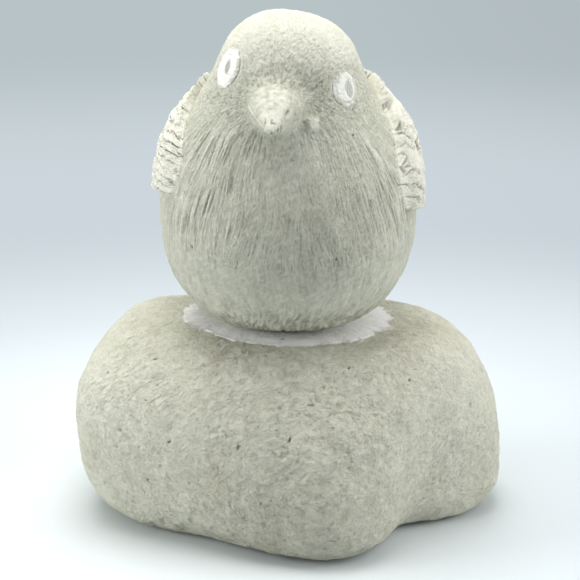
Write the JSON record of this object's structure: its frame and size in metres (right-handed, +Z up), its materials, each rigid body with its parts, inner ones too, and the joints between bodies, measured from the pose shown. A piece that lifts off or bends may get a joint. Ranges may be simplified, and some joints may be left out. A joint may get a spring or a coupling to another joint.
{
  "type": "resin bird figurine",
  "caption": "Cast figurine of a plump songbird sitting on a lobed boulder, bedded in white filler on steel dowels, with a felt-covered flat foot to stand on.",
  "frame": {"origin": "on the felt's resting face, straight under the middle of the bird", "axes": "+Z up, -Y the way the bird looks, +X its left side"},
  "size_m": [0.1099, 0.1234, 0.128],
  "materials": {
    "rock_resin": "matt stone-filled casting resin, speckled grey-cream",
    "bird_resin": "matt stone-filled casting resin, carved plumage, grey-cream",
    "wing_resin": "matt stone-filled casting resin, deeply cut feathers",
    "eye_white": "smooth white filler with a cut pupil",
    "white_filler": "matt white filler, brushed out at its edge",
    "dowel_steel": "plain drawn steel rod",
    "base_felt": "dark pressed felt"
  },
  "bodies": {
    "root": {"rock_base": "rock_resin", "bird_body": "bird_resin", "left_wing": "wing_resin", "right_wing": "wing_resin", "left_eye": "eye_white", "right_eye": "eye_white", "bedding_ring": "white_filler", "front_dowel": "dowel_steel", "rear_dowel": "dowel_steel", "felt_base": "base_felt"}
  },
  "joints": []
}
